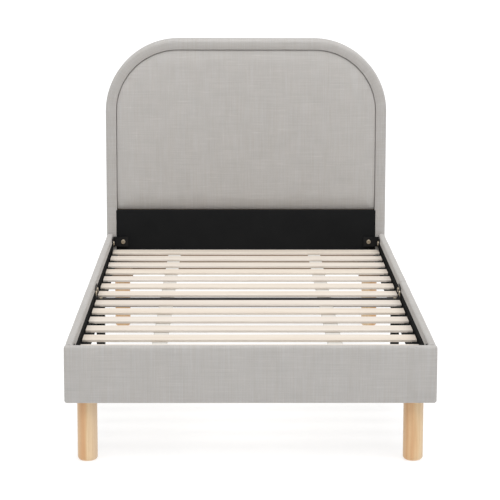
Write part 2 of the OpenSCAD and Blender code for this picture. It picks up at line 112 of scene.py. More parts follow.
class Builder:
    """Collects vertices with their place in the cloth, and faces."""

    def __init__(self):
        self.co, self.cloth, self.faces = [], [], []

    def ring(self, points, cloth):
        start = len(self.co)
        self.co.extend(points)
        self.cloth.extend(cloth)
        return list(range(start, start + len(points)))

    def join(self, a, b, closed=True, flip=False):
        n = len(a)
        for i in range(n if closed else n - 1):
            j = (i + 1) % n
            quad = (a[i], a[j], b[j], b[i])
            self.faces.append(quad[::-1] if flip else quad)

    def cap(self, ring, flip=False):
        self.faces.append(tuple(reversed(ring)) if flip else tuple(ring))

    def fan(self, ring, centre, cloth):
        c = self.ring([centre], [cloth])[0]
        n = len(ring)
        for i in range(n):
            self.faces.append((ring[i], ring[(i + 1) % n], c))

    def make(self, name):
        mesh = bpy.data.meshes.new(name)
        mesh.from_pydata([tuple(p) for p in self.co], [], self.faces)
        mesh.validate()
        mesh.attributes.new("cloth", "FLOAT_VECTOR", "POINT").data.foreach_set(
            "vector", np.array(self.cloth, np.float32).ravel())
        finish_mesh(mesh)
        ob = bpy.data.objects.new(name, mesh)
        bpy.context.scene.collection.objects.link(ob)
        return ob


SHARP_ANGLE = math.radians(35)


def finish_mesh(mesh):
    """Turns the faces outwards, and marks edges that are sharper than SHARP_ANGLE."""
    bm = bmesh.new()
    bm.from_mesh(mesh)
    bmesh.ops.recalc_face_normals(bm, faces=bm.faces)
    for f in bm.faces:
        f.smooth = True
    for e in bm.edges:
        e.smooth = not (len(e.link_faces) == 2 and e.calc_face_angle(0) > SHARP_ANGLE)
    bm.to_mesh(mesh)
    bm.free()


def dress(ob, material, replaces, body="bed_frame"):
    """Gives a piece its material and body, and hides the CAD nodes it stands for."""
    ob.data.materials.clear()
    ob.data.materials.append(material)
    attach(ob, body)
    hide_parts(*replaces)


def thicken(ob, thick):
    """Makes a closed cloth from a single layer, inwards from its seen face."""
    solid = ob.modifiers.new("thickness", "SOLIDIFY")
    solid.thickness = thick
    solid.offset = -1


def face_along(ob, axis, way):
    """Turns a single layer so that its seen face looks along the axis, way +1 or -1."""
    if ob.data.polygons[0].normal[axis] * way < 0:
        ob.data.flip_normals()


# ---------------------------------------------------------------- materials

class Shader:
    """Short ways to add nodes to one material."""

    def __init__(self, name, **principled):
        self.mat = bpy.data.materials.new(name)
        self.mat.use_nodes = True
        self.tree = self.mat.node_tree
        self.bsdf = next(n for n in self.tree.nodes if n.type == "BSDF_PRINCIPLED")
        for key, value in principled.items():
            self.bsdf.inputs[key.replace("_", " ")].default_value = value

    def node(self, kind, **inputs):
        n = self.tree.nodes.new(kind)
        for key, value in inputs.items():
            self.put(n.inputs[key.replace("_", " ")], value)
        return n

    def put(self, socket, value):
        if isinstance(value, bpy.types.NodeSocket):
            self.tree.links.new(value, socket)
        else:
            socket.default_value = value

    def place(self, source="cloth"):
        """Coordinates in metres: of the cloth, or of the object."""
        if source == "object":
            return self.tree.nodes.new("ShaderNodeTexCoord").outputs["Object"]
        n = self.tree.nodes.new("ShaderNodeAttribute")
        n.attribute_name = source
        return n.outputs["Vector"]

    def scaled(self, vector, scale, offset=(0, 0, 0)):
        m = self.node("ShaderNodeMapping", Vector=vector)
        m.inputs["Scale"].default_value = scale
        m.inputs["Location"].default_value = offset
        return m.outputs["Vector"]

    def noise(self, vector, scale=1.0, detail=2.0, rough=0.5):
        n = self.node("ShaderNodeTexNoise", Vector=vector)
        n.inputs["Scale"].default_value = scale
        n.inputs["Detail"].default_value = detail
        n.inputs["Roughness"].default_value = rough
        return n.outputs["Fac"]

    def math(self, op, a, b=0.0):
        n = self.tree.nodes.new("ShaderNodeMath")
        n.operation = op
        self.put(n.inputs[0], a)
        self.put(n.inputs[1], b)
        return n.outputs[0]

    def part(self, vector, axis):
        n = self.node("ShaderNodeSeparateXYZ", Vector=vector)
        return n.outputs[axis]

    def ramp(self, fac, stops):
        n = self.node("ShaderNodeValToRGB", Fac=fac)
        r = n.color_ramp
        while len(r.elements) < len(stops):
            r.elements.new(0.5)
        for e, (at, colour) in zip(r.elements, stops):
            e.position = at
            e.color = (*colour, 1)
        return n.outputs["Color"]

    def mix(self, fac, a, b, blend="MIX"):
        n = self.tree.nodes.new("ShaderNodeMix")
        n.data_type = "RGBA"
        n.blend_type = blend
        # The colour sockets of this node come after its number and vector ones
        self.put(n.inputs[0], fac)
        self.put(n.inputs[6], a)
        self.put(n.inputs[7], b)
        return n.outputs[2]

    def rescale(self, value, low, high, to_low, to_high):
        n = self.node("ShaderNodeMapRange", Value=value)
        n.inputs["From Min"].default_value = low
        n.inputs["From Max"].default_value = high
        n.inputs["To Min"].default_value = to_low
        n.inputs["To Max"].default_value = to_high
        return n.outputs["Result"]

    def bump(self, height, distance, strength):
        n = self.node("ShaderNodeBump", Height=height)
        n.inputs["Distance"].default_value = distance
        n.inputs["Strength"].default_value = strength
        return n.outputs["Normal"]

    def set(self, **sockets):
        for key, value in sockets.items():
            self.put(self.bsdf.inputs[key.replace("_", " ")], value)
        return self.mat


def rgba(c):
    return (c[0], c[1], c[2], 1.0)


THREAD = 0.0013


def linen(name, colour, seed=0.0):
    """Plain-woven linen-look cloth: thick and thin threads both ways, soft mottling."""
    s = Shader(name, Roughness=0.88, Sheen_Weight=0.25, Sheen_Roughness=0.45)
    s.bsdf.inputs["Sheen Tint"].default_value = (0.95, 0.93, 0.9, 1)
    s.bsdf.inputs["Specular IOR Level"].default_value = 0.25
    at = s.place()
    u, v = s.part(at, 0), s.part(at, 1)
    # Threads that vary in thickness and shade along their length
    weft = s.noise(s.scaled(at, (9, 520, 1), (seed, 0, 0)), detail=3.0, rough=0.55)
    warp = s.noise(s.scaled(at, (560, 11, 1), (0, seed, 3.7)), detail=3.0, rough=0.55)
    slub = s.noise(s.scaled(at, (14, 240, 1), (seed + 5, 2, 1)), detail=1.0)
    slub_up = s.noise(s.scaled(at, (260, 16, 1), (4, seed + 2, 7)), detail=1.0)
    mottle = s.noise(s.scaled(at, (26, 26, 1), (seed, seed, 0)), detail=3.0)
    shade = s.math("ADD", s.rescale(weft, 0.3, 0.7, -0.055, 0.055),
                   s.rescale(warp, 0.3, 0.7, -0.05, 0.05))
    shade = s.math("ADD", shade, s.rescale(slub, 0.62, 0.8, 0.0, 0.10))
    shade = s.math("ADD", shade, s.rescale(slub_up, 0.64, 0.82, 0.0, 0.08))
    shade = s.math("ADD", shade, s.rescale(mottle, 0.3, 0.7, -0.025, 0.025))
    # The weave itself: over and under, one thread pitch apart
    k = 2 * math.pi / THREAD
    over = s.math("SINE", s.math("MULTIPLY", u, k))
    under = s.math("SINE", s.math("MULTIPLY", v, k))
    weave = s.math("MULTIPLY", over, under)
    shade = s.math("ADD", shade, s.math("MULTIPLY", weave, 0.035))
    gain = s.math("ADD", shade, 1.0)
    tint = s.mix(s.rescale(warp, 0.35, 0.65, 0.0, 1.0),
                 rgba([colour[0] * 1.012, colour[1], colour[2] * 0.985]),
                 rgba([colour[0] * 0.988, colour[1], colour[2] * 1.012]))
    grey = s.node("ShaderNodeCombineColor", Red=gain, Green=gain, Blue=gain)
    s.set(Base_Color=s.mix(1.0, tint, grey.outputs[0], "MULTIPLY"))
    s.set(Roughness=s.rescale(weft, 0.3, 0.7, 0.82, 0.94))
    height = s.math("ADD", s.math("MULTIPLY", weave, 0.35),
                    s.math("ADD", s.math("MULTIPLY", weft, 0.8),
                           s.math("MULTIPLY", warp, 0.7)))
    return s.set(Normal=s.bump(height, 0.0004, 0.55))


def black_cloth(name):
    """Black non-woven lining: fine felted fibres with faint creases."""
    s = Shader(name, Roughness=0.95)
    s.bsdf.inputs["Specular IOR Level"].default_value = 0.08
    at = s.place("object")
    fibre = s.noise(at, 900, 4.0, 0.7)
    cloud = s.noise(at, 22, 3.0)
    c = s.mix(fibre, (0.0055, 0.0058, 0.0062, 1), (0.0155, 0.0160, 0.0168, 1))
    c = s.mix(s.rescale(cloud, 0.35, 0.7, 0.0, 0.5), c, (0.0135, 0.0138, 0.0142, 1))
    s.set(Base_Color=c, Roughness=s.rescale(fibre, 0.3, 0.7, 0.85, 1.0))
    height = s.math("ADD", s.math("MULTIPLY", fibre, 0.4), cloud)
    return s.set(Normal=s.bump(height, 0.0008, 0.4))


def leg_wood(name, seed, turn):
    """Round beech leg, clear satin lacquer: vertical grain with a warm and a pale side."""
    s = Shader(name, Roughness=0.42, Coat_Weight=0.12, Coat_Roughness=0.3)
    at = s.place()
    x, y = s.part(at, 0), s.part(at, 1)
    body = s.noise(s.scaled(at, (38, 38, 3.0), (seed, 0, 0)), detail=2.0)
    lines = s.noise(s.scaled(at, (330, 330, 7.0), (seed, 2, 0)), detail=4.0, rough=0.6)
    pores = s.noise(s.scaled(at, (1500, 1500, 120), (seed, 5, 0)), detail=1.0)
    side = s.math("ADD", s.math("MULTIPLY", x, math.cos(turn) * 26),
                  s.math("MULTIPLY", y, math.sin(turn) * 26))
    side = s.math("ADD", side, s.rescale(body, 0.3, 0.7, -0.32, 0.32))
    tone = s.ramp(s.rescale(side, -0.6, 0.6, 0.0, 1.0), [
        (0.0, (0.68, 0.455, 0.255)), (0.30, (0.63, 0.355, 0.170)),
        (0.46, (0.70, 0.460, 0.245)), (0.62, (0.745, 0.555, 0.335)),
        (1.0, (0.72, 0.535, 0.350))])
    c = s.mix(s.rescale(lines, 0.42, 0.7, 0.0, 0.32), tone, (0.50, 0.29, 0.14, 1))
    c = s.mix(s.rescale(pores, 0.66, 0.75, 0.0, 0.3), c, (0.30, 0.17, 0.08, 1))
    s.set(Base_Color=c, Roughness=s.rescale(lines, 0.3, 0.7, 0.36, 0.52))
    return s.set(Normal=s.bump(lines, 0.0002, 0.35))


def slat_wood(name, seed, warm):
    """Thin pale slat, unfinished: straight grain along it and small dark knots."""
    s = Shader(name, Roughness=0.6)
    s.bsdf.inputs["Specular IOR Level"].default_value = 0.3
    at = s.place("object")
    bands = s.noise(s.scaled(at, (1.6, 70, 60), (seed, seed * 0.7, 0)), detail=2.0)
    grain = s.noise(s.scaled(at, (7, 900, 800), (seed, 1, 0)), detail=4.0, rough=0.6)
    flake = s.noise(s.scaled(at, (60, 1400, 900), (seed, 3, 0)), detail=1.0)
    cloud = s.noise(s.scaled(at, (9, 30, 10), (seed, 8, 0)), detail=2.0)
    pale = (0.688 + 0.015 * warm, 0.632, 0.578 - 0.03 * warm, 1)
    deep = (0.588, 0.506 - 0.02 * warm, 0.426 - 0.03 * warm, 1)
    c = s.mix(s.rescale(bands, 0.38, 0.68, 0.0, 0.55), pale, deep)
    c = s.mix(s.rescale(grain, 0.45, 0.75, 0.0, 0.30), c, (0.52, 0.41, 0.30, 1))
    c = s.mix(s.rescale(flake, 0.66, 0.78, 0.0, 0.35), c, (0.44, 0.33, 0.22, 1))
    c = s.mix(s.rescale(cloud, 0.35, 0.7, 0.0, 0.22), c, (0.74, 0.69, 0.62, 1))
    s.set(Base_Color=c, Roughness=s.rescale(grain, 0.3, 0.7, 0.5, 0.7))
    return s.set(Normal=s.bump(grain, 0.00025, 0.4))


def board_wood(name):
    """Raw plywood and block wood inside the rails: the wood's own brown, darkened further with
    painted shade for the shadow these parts lie in.
    """
    s = Shader(name, Roughness=0.7)
    at = s.place("object")
    grain = s.noise(s.scaled(at, (6, 6, 160)), detail=4.0, rough=0.6)
    plies = s.math("SINE", s.math("MULTIPLY", s.part(at, 0), 2 * math.pi / 0.003))
    # Both browns are darker than raw plywood: painted shade for the shadow inside the rails
    c = s.mix(s.rescale(grain, 0.3, 0.7, 0.0, 1.0),
              (0.300, 0.215, 0.140, 1), (0.225, 0.155, 0.100, 1))
    c = s.mix(s.rescale(plies, 0.0, 1.0, 0.0, 0.25), c, (0.170, 0.115, 0.070, 1))
    s.set(Base_Color=c, Roughness=s.rescale(grain, 0.3, 0.7, 0.6, 0.8))
    return s.set(Normal=s.bump(grain, 0.0004, 0.4))


def powder_coat(name):
    """Black powder coat: fine orange peel, slightly worn."""
    s = Shader(name, Roughness=0.5)
    s.bsdf.inputs["Specular IOR Level"].default_value = 0.25
    at = s.place("object")
    peel = s.noise(at, 1100, 2.0)
    worn = s.noise(at, 60, 4.0, 0.6)
    c = s.mix(s.rescale(worn, 0.55, 0.8, 0.0, 0.5),
              (0.006, 0.006, 0.0065, 1), (0.020, 0.0195, 0.019, 1))
    s.set(Base_Color=c, Roughness=s.rescale(worn, 0.3, 0.7, 0.42, 0.6))
    return s.set(Normal=s.bump(peel, 0.0002, 0.35))


def zinc(name):
    """Yellow zinc plate: warm metal with cloudy passivation."""
    s = Shader(name, Roughness=0.45, Metallic=0.8)
    at = s.place("object")
    cloud = s.noise(at, 240, 3.0)
    fine = s.noise(at, 2600, 2.0)
    c = s.ramp(s.rescale(cloud, 0.3, 0.7, 0.0, 1.0), [
        (0.0, (0.40, 0.33, 0.24)), (0.5, (0.48, 0.41, 0.31)), (1.0, (0.42, 0.39, 0.35))])
    s.set(Base_Color=c, Roughness=s.rescale(cloud, 0.3, 0.7, 0.38, 0.55))
    return s.set(Normal=s.bump(fine, 0.00005, 0.3))


def webbing(name):
    """White webbing: ribbed along its length, woven across."""
    s = Shader(name, Roughness=0.8, Sheen_Weight=0.15)
    at = s.place()
    u, v = s.part(at, 0), s.part(at, 1)
    rib = s.math("SINE", s.math("MULTIPLY", v, 2 * math.pi / 0.0021))
    weft = s.math("SINE", s.math("MULTIPLY", u, 2 * math.pi / 0.0012))
    weave = s.math("ADD", s.math("MULTIPLY", rib, 0.6),
                   s.math("MULTIPLY", s.math("MULTIPLY", rib, weft), 0.4))
    dirt = s.noise(s.scaled(at, (40, 90, 1)), detail=3.0)
    c = s.mix(s.rescale(weave, -1, 1, 0.0, 1.0),
              (0.52, 0.50, 0.47, 1), (0.71, 0.69, 0.65, 1))
    c = s.mix(s.rescale(dirt, 0.35, 0.75, 0.0, 0.2), c, (0.60, 0.57, 0.52, 1))
    s.set(Base_Color=c, Roughness=s.rescale(weave, -1, 1, 0.75, 0.9))
    return s.set(Normal=s.bump(weave, 0.0003, 0.6))


def plastic(name):
    s = Shader(name, Roughness=0.45)
    at = s.place("object")
    grain = s.noise(at, 1500, 2.0)
    c = s.mix(grain, (0.010, 0.010, 0.010, 1), (0.022, 0.022, 0.022, 1))
    s.set(Base_Color=c, Roughness=s.rescale(grain, 0.3, 0.7, 0.4, 0.55))
    return s.set(Normal=s.bump(grain, 0.0001, 0.4))


CLOTH = (0.436, 0.420, 0.404)
# The border's cloth is painted a little darker than the rest of the cloth: painted shade for the
# weaker light the border gets
BORDER_PAINTED_SHADE = 0.945
M_PANEL = linen("linen_panel", CLOTH, 0.0)
M_BORDER_PAINTED_SHADE = linen("linen_border_painted_shade", tuple(c * BORDER_PAINTED_SHADE for c in CLOTH), 11.0)
M_RAIL = linen("linen_rail", CLOTH, 23.0)
M_FRONT = linen("linen_front", CLOTH, 37.0)
M_BLACK = black_cloth("black_lining")
M_BOARD_PAINTED_SHADE = board_wood("board_wood")
M_STEEL = powder_coat("black_steel")
M_ZINC = zinc("zinc_steel")
M_WEB = webbing("white_webbing")
M_PLASTIC = plastic("black_plastic")

# ---------------------------------------------------------------- headboard outline


def arch_path(inset, bottom_z, step):
    """Points (x, z, nx, nz, length) along the arch from its left foot over to its right foot.
    The normal points inwards."""
    r = ARCH_R - inset
    side = HALF_W - inset
    top = TOP_Z - inset
    parts = []

    def add_line(a, b, n):
        count = max(1, round(math.hypot(b[0] - a[0], b[1] - a[1]) / step))
        for i in range(count):
            parts.append((lerp(a[0], b[0], i / count), lerp(a[1], b[1], i / count), *n))

    def add_arc(c, a0, a1):
        count = max(3, round(abs(math.radians(a1 - a0)) * r / step))
        for i in range(count):
            a = math.radians(lerp(a0, a1, i / count))
            parts.append((c[0] + r * math.cos(a), c[1] + r * math.sin(a),
                          -math.cos(a), -math.sin(a)))

    add_line((-side, bottom_z), (-side, top - r), (1, 0))
    add_arc((-side + r, top - r), 180, 90)
    add_line((-side + r, top), (side - r, top), (0, -1))
    add_arc((side - r, top - r), 90, 0)
    add_line((side, top - r), (side, bottom_z), (-1, 0))
    parts.append((side, bottom_z, -1, 0))
    out, run = [], 0.0
    for i, p in enumerate(parts):
        if i:
            q = parts[i - 1]
            run += math.hypot(p[0] - q[0], p[1] - q[1])
        out.append((*p, run))
    return out


def corner_share(x, z):
    """1 at the middle of an arch corner, 0 away from it, and the angle round it."""
    cx = HALF_W - ARCH_R
    cz = TOP_Z - ARCH_R
    dx, dz = abs(x) - cx, z - cz
    if dx <= 0 or dz <= 0:
        return 0.0, 0.0
    a = math.degrees(math.atan2(dz, dx))
    return smooth(min(a, 90 - a) / 25), a


# ---------------------------------------------------------------- headboard panel

PANEL_INSET = BORDER_W + GROOVE_W
PANEL_R = ARCH_R - PANEL_INSET
PANEL_FOOT_R = 0.005
ROLL_W = 0.038
ROLL_D = 0.0052
EDGE_R = 0.0010
FOOT_ROLL = 0.0075
FOOT_ROLL_H = 0.052
CROWN = 0.0014
PANEL_BACK = 0.0006
PUCKER = 0.0006
PUCKER_AT, PUCKER_WIDE = 0.010, 0.012
PUCKERS = 26
# The outline's points, and the insets of its rings: close at the rim, even further in
PANEL_POINTS = 420
RIM_INSETS = [0.0002, 0.0005, 0.0010, 0.0016, 0.0023, 0.0035, 0.0055, 0.0080, 0.0115, 0.015, 0.019]
RING_STEP = 0.0055
TIGHT_R = 0.0015


def panel_outline(inset):
    """The panel's outline moved inwards, as the same number of points at every inset."""
    half = HALF_W - PANEL_INSET - inset
    top = TOP_Z - PANEL_INSET - inset
    low = PANEL_LO.z + inset
    r = max(PANEL_R - inset, TIGHT_R)
    f = max(PANEL_FOOT_R - inset, TIGHT_R)
    # Each piece: start, end or centre, with a share of the points fixed by the outer outline
    o_half, o_top, o_low = HALF_W - PANEL_INSET, TOP_Z - PANEL_INSET, PANEL_LO.z
    seg = [("l", (-half, low + f), (-half, top - r), o_top - PANEL_R - o_low - PANEL_FOOT_R),
           ("a", (-half + r, top - r), r, 180, 90, PANEL_R * math.pi / 2),
           ("l", (-half + r, top), (half - r, top), 2 * (o_half - PANEL_R)),
           ("a", (half - r, top - r), r, 90, 0, PANEL_R * math.pi / 2),
           ("l", (half, top - r), (half, low + f), o_top - PANEL_R - o_low - PANEL_FOOT_R),
           ("a", (half - f, low + f), f, 0, -90, PANEL_FOOT_R * math.pi / 2),
           ("l", (half - f, low), (-half + f, low), 2 * (o_half - PANEL_FOOT_R)),
           ("a", (-half + f, low + f), f, -90, -180, PANEL_FOOT_R * math.pi / 2)]
    total = sum(p[-1] for p in seg)
    out = []
    for p in seg:
        n = max(3, round(PANEL_POINTS * p[-1] / total))
        for i in range(n):
            t = i / n
            if p[0] == "l":
                out.append((lerp(p[1][0], p[2][0], t), lerp(p[1][1], p[2][1], t)))
            else:
                a = math.radians(lerp(p[3], p[4], t))
                out.append((p[1][0] + p[2] * math.cos(a), p[1][1] + p[2] * math.sin(a)))
    return out


class Cushion:
    """The stretched cloth of the panel, simulated: a sheet held along its edge and pushed out
    by pressure, as foam would. Only its heights are used, scaled down: the broad swell from
    0 to 1, and the fine unevenness in metres."""

    STEP = 0.008
    RIM = 0.006
    SLACK = -0.006
    PRESSURE = 4.0
    FRAMES = 20
    FINE_MAX = 0.0008
    EVEN_OUT = 0.6

    def __init__(self):
        half = HALF_W - PANEL_INSET
        self.low_x, self.low_z = -half, PANEL_LO.z
        self.nx = int(2 * half / self.STEP) + 1
        self.nz = int((TOP_Z - PANEL_INSET - self.low_z) / self.STEP) + 1
        self.dx = 2 * half / (self.nx - 1)
        self.dz = (TOP_Z - PANEL_INSET - self.low_z) / (self.nz - 1)
        raw = self.simulate()
        broad = self.blur(raw, 5)
        self.broad = np.clip(broad / max(1e-6, np.percentile(broad, 98)), 0, 1) ** self.EVEN_OUT
        fine = self.blur(raw, 1) - self.blur(raw, 3)
        self.fine = np.clip(fine, -self.FINE_MAX, self.FINE_MAX)

    def inside(self, x, z):
        """Distance inwards from the panel's outline."""
        dx = HALF_W - PANEL_INSET - abs(x)
        dz = TOP_Z - PANEL_INSET - z
        if dx < PANEL_R and dz < PANEL_R:
            return PANEL_R - math.hypot(PANEL_R - dx, PANEL_R - dz)
        return min(dx, dz, z - self.low_z)

    def grid(self):
        for j in range(self.nz):
            for i in range(self.nx):
                yield self.low_x + i * self.dx, self.low_z + j * self.dz

    def plain(self):
        h = [smooth(self.inside(x, z) / 0.17) for x, z in self.grid()]
        return np.array(h).reshape(self.nz, self.nx)

    def simulate(self):
        points = list(self.grid())
        faces = [(j * self.nx + i, j * self.nx + i + 1, (j + 1) * self.nx + i + 1,
                  (j + 1) * self.nx + i) for j in range(self.nz - 1) for i in range(self.nx - 1)]
        start = [(x, 0.0002 * wave_noise(x, z, 5.0, 13), z) for x, z in points]
        mesh = bpy.data.meshes.new("cushion_sheet")
        mesh.from_pydata(start, [], faces)
        ob = bpy.data.objects.new("cushion_sheet", mesh)
        bpy.context.scene.collection.objects.link(ob)
        held = [k for k, (x, z) in enumerate(points) if self.inside(x, z) < self.RIM]
        ob.vertex_groups.new(name="held").add(held, 1.0, "REPLACE")
        cloth = ob.modifiers.new("cloth", "CLOTH")
        how = cloth.settings
        how.quality = 6
        how.mass = 0.35
        how.tension_stiffness = how.compression_stiffness = 18
        how.shear_stiffness = 6
        how.bending_stiffness = 0.6
        how.shrink_min = self.SLACK
        how.vertex_group_mass = "held"
        how.use_pressure = True
        how.uniform_pressure_force = self.PRESSURE
        how.effector_weights.gravity = 0.0
        cloth.collision_settings.use_collision = False
        cloth.point_cache.frame_start, cloth.point_cache.frame_end = 1, self.FRAMES
        for step in range(1, self.FRAMES + 1):
            bpy.context.scene.frame_set(step)
        got = ob.evaluated_get(bpy.context.evaluated_depsgraph_get()).to_mesh()
        y = np.array([v.co.y for v in got.vertices]).reshape(self.nz, self.nx)
        ob.to_mesh_clear()
        bpy.data.objects.remove(ob)
        bpy.data.meshes.remove(mesh)
        bpy.context.scene.frame_set(1)
        return -y if y.mean() < 0 else y

    @staticmethod
    def blur(a, times):
        """Smooths a grid with a small round brush, twice for each time."""
        for _ in range(times * 2):
            p = np.pad(a, 1, mode="edge")
            a = (p[1:-1, 1:-1] * 4 + (p[:-2, 1:-1] + p[2:, 1:-1] + p[1:-1, :-2] + p[1:-1, 2:]) * 2
                 + p[:-2, :-2] + p[2:, 2:] + p[:-2, 2:] + p[2:, :-2]) / 16
        return a

    def at(self, x, z):
        """The broad swell and the fine unevenness at a place on the panel."""
        u = min(max((x - self.low_x) / self.dx, 0), self.nx - 1.001)
        v = min(max((z - self.low_z) / self.dz, 0), self.nz - 1.001)
        i, j = int(u), int(v)
        s, t = u - i, v - j
        out = []
        for a in (self.broad, self.fine):
            low = lerp(a[j, i], a[j, i + 1], s)
            out.append(lerp(low, lerp(a[j + 1, i], a[j + 1, i + 1], s), t))
        return out


CUSHION = Cushion()


def panel_depth(x, z, inset):
    """How far the cloth lies behind the headboard's front plane."""
    t = min(1.0, inset / ROLL_W)
    roll = ROLL_D * (1 - t) ** 2
    turn = 1 - min(1.0, inset / EDGE_R)
    tight = EDGE_R * (1 - math.sqrt(1 - turn * turn))
    up = max(0.0, 1 - (z - PANEL_LO.z) / FOOT_ROLL_H)
    roll += FOOT_ROLL * up * up
    swell, fine = CUSHION.at(x, z)
    crown = CROWN * (1 - swell) - fine * smooth(inset / 0.02)
    share, angle = corner_share(x, z)
    edge = math.exp(-((inset - PUCKER_AT) / PUCKER_WIDE) ** 2)
    pucker = PUCKER * share * edge * math.sin(math.radians(angle) * PUCKERS)
    uneven = 0.0006 * wave_noise(x, z, 0.3, 9) + 0.00022 * wave_noise(x, z, 2.3, 42)
    return max(0.0, roll + tight + crown + pucker + uneven * smooth(inset / 0.02) + PANEL_BACK)


def make_panel():
    b = Builder()
    back = PANEL_HI.y - 0.0002
    insets = list(RIM_INSETS)
    d = 0.0235
    limit = (PANEL_HI.z - PANEL_LO.z) / 2 - 0.004
    while d < limit:
        insets.append(d)
        d += RING_STEP
    first = panel_outline(0.0001)
    cloth = [(x, z, 0) for x, z in first]
    ring = b.ring([(x, back, z) for x, z in first], cloth)
    b.fan(ring, (0, back, (PANEL_LO.z + PANEL_HI.z) / 2), (0, 0, 0))
    for y_back in (0.010, 0.006, 0.002):
        nxt = b.ring([(x, HEAD_Y + panel_depth(x, z, 0) + y_back, z) for x, z in first],
                     [(x, z + y_back, 0) for x, z in first])
        b.join(ring, nxt)
        ring = nxt
    for inset in insets:
        pts = panel_outline(inset)
        nxt = b.ring([(x, HEAD_Y + panel_depth(x, z, inset), z) for x, z in pts],
                     [(x, z, 0) for x, z in pts])
        b.join(ring, nxt)
        ring = nxt
    pts = [b.co[i] for i in ring]
    centre = np.mean(pts, axis=0)
    b.fan(ring, tuple(centre), (centre[0], centre[2], 0))
    ob = b.make("headboard_panel_pad")
    dress(ob, M_PANEL, replaces=["headboard_panel"])


# ---------------------------------------------------------------- headboard border

BORDER_DEPTH = BORDER_BACK_Y - HEAD_Y
RING_IN = 0.003
RING_OUT = BORDER_W - 0.0015
RING_BACK = BORDER_DEPTH - 0.0015


def border_section():
    """Outline of the border's skin: (inset, depth), from the back of the outer side round the
    front to the back of the inner side."""
    r_out, r_back = 0.0095, 0.0022
    dome_n, dome_d, r_in = 0.013, 0.0024, 0.0018
    pts = []
    pts += arc_points(r_back, BORDER_DEPTH - r_back, r_back, 90, 180, 4)
    pts += line_points((0, BORDER_DEPTH - r_back), (0, r_out), 0.006)
    pts += arc_points(r_out, r_out, r_out, 180, 270, 10)
    for n, _ in line_points((r_out, 0), (BORDER_W - r_in, 0), 0.0018):
        pts.append((n, dome_d * (max(0.0, n - dome_n) / (BORDER_W - r_in - dome_n)) ** 2))
    pts += arc_points(BORDER_W - r_in, r_in + dome_d, r_in, 285, 360, 6)
    pts += line_points((BORDER_W, r_in + dome_d), (BORDER_W, BORDER_DEPTH), 0.009)
    pts += [(BORDER_W, BORDER_DEPTH)]
    pts += line_points((BORDER_W, BORDER_DEPTH), (r_back, BORDER_DEPTH), 0.009)
    return pts


SEAM_X = -0.194
SEAM_W = 0.0011
SEAM_DEEP = 0.0006
GATHER = 0.00045
GATHERS = 34
PATH_STEP = 0.005


def make_border():
    b = Builder()
    section = border_section()
    around = [0.0]
    for i in range(1, len(section)):
        p, q = section[i - 1], section[i]
        around.append(around[-1] + math.hypot(q[0] - p[0], q[1] - p[1]))
    path = arch_path(0.0, RAIL_Z, PATH_STEP)
    last = len(path) - 1
    rings = []
    for k, (x, z, nx, nz, run) in enumerate(path):
        pts, cloth = [], []
        share, angle = corner_share(x, z)
        seam = math.exp(-((x - SEAM_X) / SEAM_W) ** 2) if z > TOP_Z - 0.01 else 0.0
        near_end = min(k, last - k) * PATH_STEP
        tuck = 0.002 * (1 - math.sqrt(max(0, 1 - (1 - min(1, near_end / 0.002)) ** 2)))
        for (n, y), t in zip(section, around):
            front = smooth((0.016 - y) / 0.016)
            belly = math.sin(math.pi * min(1, n / BORDER_W))
            gather = GATHER * share * math.sin(math.radians(angle) * GATHERS + n * 160)
            inner = smooth((n - 0.012) / 0.016)
            dent = gather * inner * front
            dent += 0.00035 * front * wave_noise(run, n, 0.0, 28)
            dent += SEAM_DEEP * seam
            flat = 0.0004 * (1 - belly) * front
            m = n + (dent if n < BORDER_W / 2 else -dent) * (1 - belly)
            yy = y + max(0, dent * belly * 1.5 + flat)
            m = min(max(m, tuck), BORDER_W - tuck)
            pts.append((x + nx * m, HEAD_Y + min(yy, BORDER_DEPTH), z + nz * m))
            cloth.append((run, t, 0))
        rings.append(b.ring(pts, cloth))
    for p, q in zip(rings, rings[1:]):
        b.join(p, q)
    b.cap(rings[0])
    b.cap(rings[-1], flip=True)
    # The wooden ring's place inside
    inner = [(RING_IN, RING_IN), (RING_IN, RING_BACK), (RING_OUT, RING_BACK), (RING_OUT, RING_IN)]
    skins = []
    for x, z, nx, nz, run in arch_path(0.0, RAIL_Z + UNDER_WRAP, 0.012):
        skins.append(b.ring([(x + nx * n, HEAD_Y + y, z + nz * n) for n, y in inner],
                            [(run, n, 0) for n, _ in inner]))
    for p, q in zip(skins, skins[1:]):
        b.join(p, q, flip=True)
    b.cap(skins[0], flip=True)
    b.cap(skins[-1])
    ob = b.make("headboard_border_pad")
    dress(ob, M_BORDER_PAINTED_SHADE, replaces=["headboard_border"])


# ---------------------------------------------------------------- rail covers

TOP_R_OUT = 0.008
TOP_R_IN = 0.006
LOW_R = 0.003
# The foam of the side rails stands out past the board's edges by this much
BULGE = 0.0005
FLANK = 0.0018
FLANK_UNEVEN = 0.0005
# How far the side covers turn in at the joint in the middle of the rail, and at the other end
JOINT_R = 0.0045
END_R = 0.0018
# The front cover: how far it turns in at its ends, and how far it rolls back at top and bottom
FRONT_END_R = 0.0055
TOP_ROLL, TOP_ROLL_H = 0.0020, 0.024
LOW_ROLL, LOW_ROLL_H = 0.0018, 0.022
# Small slanting creases where the front cover is folded at its top corners
CREASE = 0.0008
CREASE_AT, CREASE_WIDE = 0.045, 0.032
CREASES = 330


